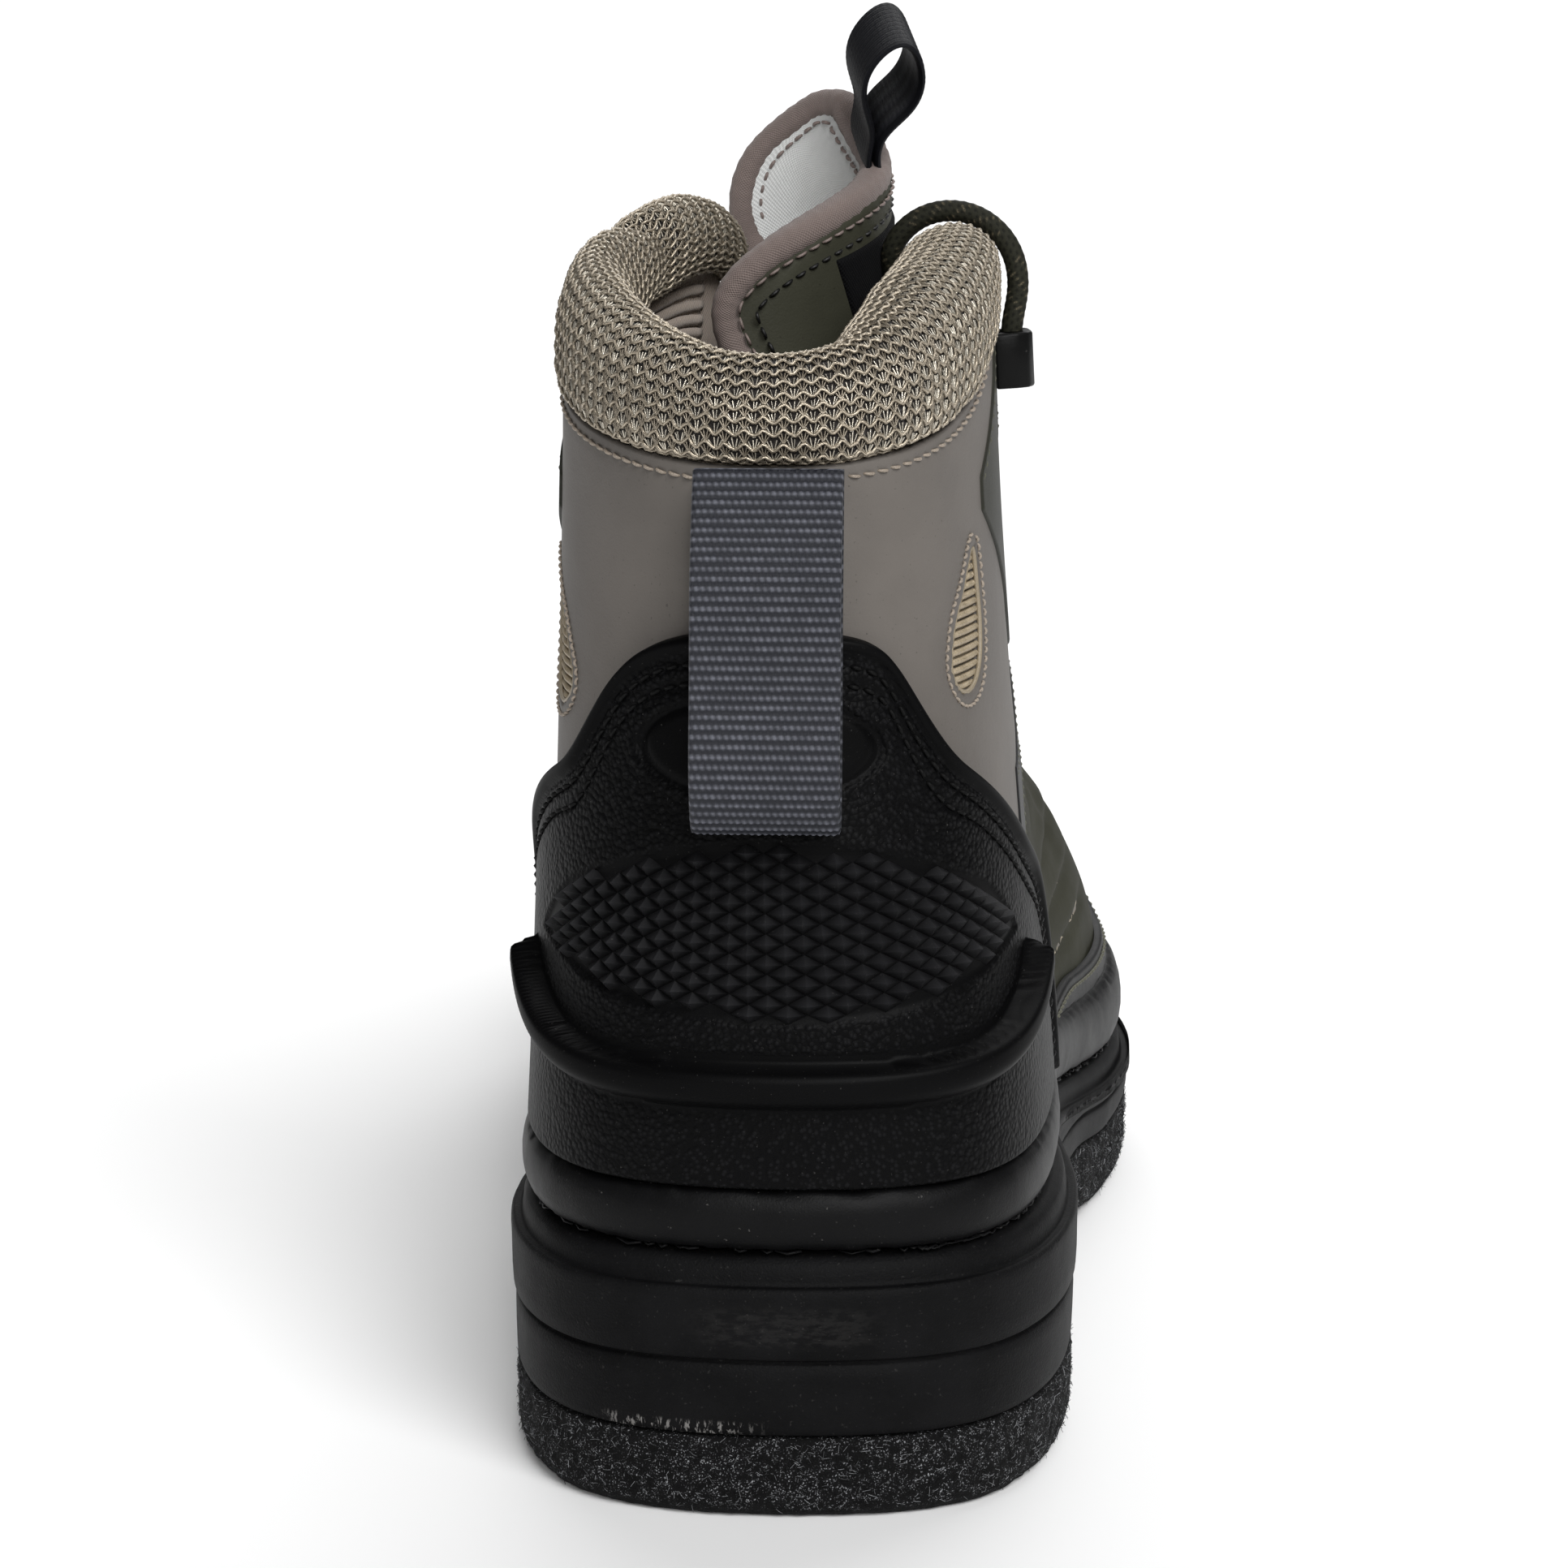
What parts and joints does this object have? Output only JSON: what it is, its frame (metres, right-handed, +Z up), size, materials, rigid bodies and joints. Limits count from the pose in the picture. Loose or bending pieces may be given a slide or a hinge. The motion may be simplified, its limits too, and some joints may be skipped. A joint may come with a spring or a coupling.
{
  "type": "wading boot",
  "caption": "Ankle-high lace-up wading boot for the right foot, with padded collar, pull loops, rubber heel counter with kick ledge and flat felt outsole.",
  "frame": {"origin": "middle of the boot's box on the floor it stands on, under the arch", "axes": "+X to the lateral side, +Y from heel to toe, +Z up"},
  "size_m": [0.119, 0.324, 0.2306],
  "materials": {
    "felt": "fibrous matte",
    "midsole_rubber": "matte, scuffed",
    "rand_rubber": "satin",
    "footbed": "matte foam",
    "taupe_leather": "smooth synthetic, satin",
    "counter_rubber": "moulded grain, satin",
    "knit_mesh": "coarse shiny knit",
    "olive_leather": "smooth synthetic, matte",
    "grey_webbing": "woven, matte",
    "black_ribbon": "woven, slight sheen",
    "hook_enamel": "black enamel",
    "eyelet_enamel": "black enamel",
    "lace_braid": "round braid, matte"
  },
  "bodies": {
    "root": {"felt_outsole": "felt", "midsole": "midsole_rubber", "rand": "rand_rubber", "insole": "footbed", "upper": "taupe_leather", "heel_counter": "counter_rubber", "collar": "knit_mesh", "tongue": "olive_leather", "rear_pull_strap": "grey_webbing", "tongue_pull_loop": "black_ribbon", "hook_lateral": "hook_enamel", "hook_medial": "hook_enamel", "eyelet_lateral_1": "eyelet_enamel", "eyelet_lateral_2": "eyelet_enamel", "eyelet_lateral_3": "eyelet_enamel", "eyelet_lateral_4": "eyelet_enamel", "eyelet_medial_1": "eyelet_enamel", "eyelet_medial_2": "eyelet_enamel", "eyelet_medial_3": "eyelet_enamel", "eyelet_medial_4": "eyelet_enamel", "lace_crossings": "lace_braid", "lace_run": "lace_braid"}
  },
  "joints": []
}
